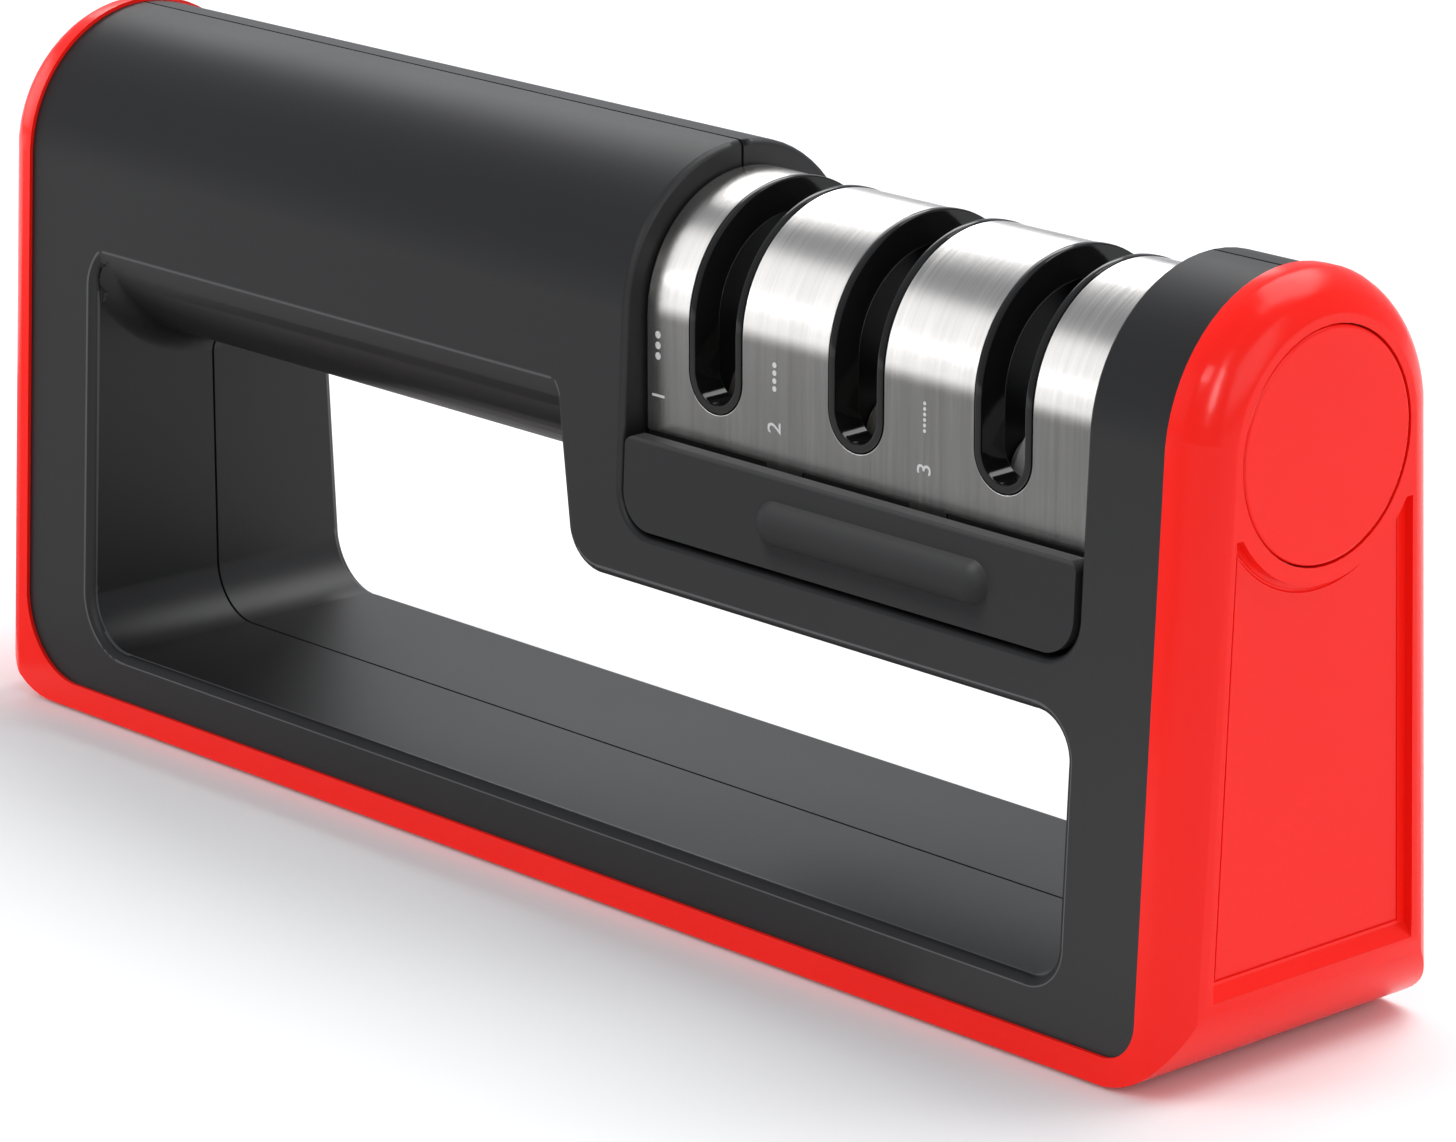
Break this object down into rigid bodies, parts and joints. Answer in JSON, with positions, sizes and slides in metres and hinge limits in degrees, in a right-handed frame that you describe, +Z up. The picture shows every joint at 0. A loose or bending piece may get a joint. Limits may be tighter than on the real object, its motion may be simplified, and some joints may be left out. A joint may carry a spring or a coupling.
{
  "type": "knife sharpener",
  "caption": "Manual knife sharpener with a hollow bridge handle, a drop-in wheel cartridge under a bent, slotted steel cover, and a red base frame with upright ends",
  "frame": {"origin": "centre of the bounding box on the table plane, Z=0 where the rubber feet rest", "axes": "+X from the handle end to the sharpening end, -Y towards the user's view in the picture, +Z up"},
  "size_m": [0.1784, 0.0374, 0.0754],
  "materials": {
    "black_body": "satin moulded plastic, charcoal black, soft highlights on edges",
    "red_frame": "smooth bright red moulded plastic, semi-gloss",
    "screw_steel": "zinc plated steel",
    "foot_rubber": "dull black rubber",
    "black_inner": "satin black plastic",
    "gloss_liner": "glossy black plastic",
    "brushed_cover": "stainless sheet, brushed round the bend, faint grey numerals",
    "spindle_steel": "ground steel",
    "spacer_plastic": "natural white plastic",
    "hub_plastic": "grey-black plastic",
    "coarse_grit": "diamond grit plating, coarse",
    "medium_grit": "diamond grit plating, medium",
    "fine_stone": "white sintered ceramic"
  },
  "bodies": {
    "housing": {"front_shell": "black_body", "back_shell": "black_body", "base_frame": "red_frame", "left_end_cap": "red_frame", "right_end_cap": "red_frame", "end_screws": "screw_steel", "shell_screws": "screw_steel", "base_screws": "screw_steel", "foot_front_left": "foot_rubber", "foot_front_right": "foot_rubber", "foot_back_left": "foot_rubber", "foot_back_right": "foot_rubber"},
    "cartridge": {"cartridge_carrier": "black_inner", "slot_liner": "gloss_liner", "steel_cover": "brushed_cover", "spindle": "spindle_steel", "spindle_clips": "spindle_steel", "spindle_spacers": "spacer_plastic"},
    "coarse_stage": {"coarse_hub": "hub_plastic", "coarse_wheel_left": "coarse_grit", "coarse_wheel_right": "coarse_grit"},
    "medium_stage": {"medium_hub": "hub_plastic", "medium_wheel_left": "medium_grit", "medium_wheel_right": "medium_grit"},
    "fine_stage": {"fine_hub": "hub_plastic", "fine_wheel_left": "fine_stone", "fine_wheel_right": "fine_stone"},
    "front_button": {"front_grip": "black_body"},
    "back_button": {"back_grip": "black_body"}
  },
  "joints": [
    {"name": "cartridge_lift", "type": "slide", "parent": "housing", "child": "cartridge", "axis": [0, 0, 1], "range_m": [0, 0.045]},
    {"name": "coarse_spin", "type": "hinge", "parent": "cartridge", "child": "coarse_stage", "pos_m": [0.022, 0, 0.05], "axis": [1, 0, 0], "continuous": true},
    {"name": "medium_spin", "type": "hinge", "parent": "cartridge", "child": "medium_stage", "pos_m": [0.0415, 0, 0.05], "axis": [1, 0, 0], "continuous": true},
    {"name": "fine_spin", "type": "hinge", "parent": "cartridge", "child": "fine_stage", "pos_m": [0.061, 0, 0.05], "axis": [1, 0, 0], "continuous": true},
    {"name": "front_press", "type": "slide", "parent": "cartridge", "child": "front_button", "axis": [0, 1, 0], "range_m": [0, 0.0008], "stiffness_N_per_m": 800},
    {"name": "back_press", "type": "slide", "parent": "cartridge", "child": "back_button", "axis": [0, -1, 0], "range_m": [0, 0.0008], "stiffness_N_per_m": 800}
  ]
}
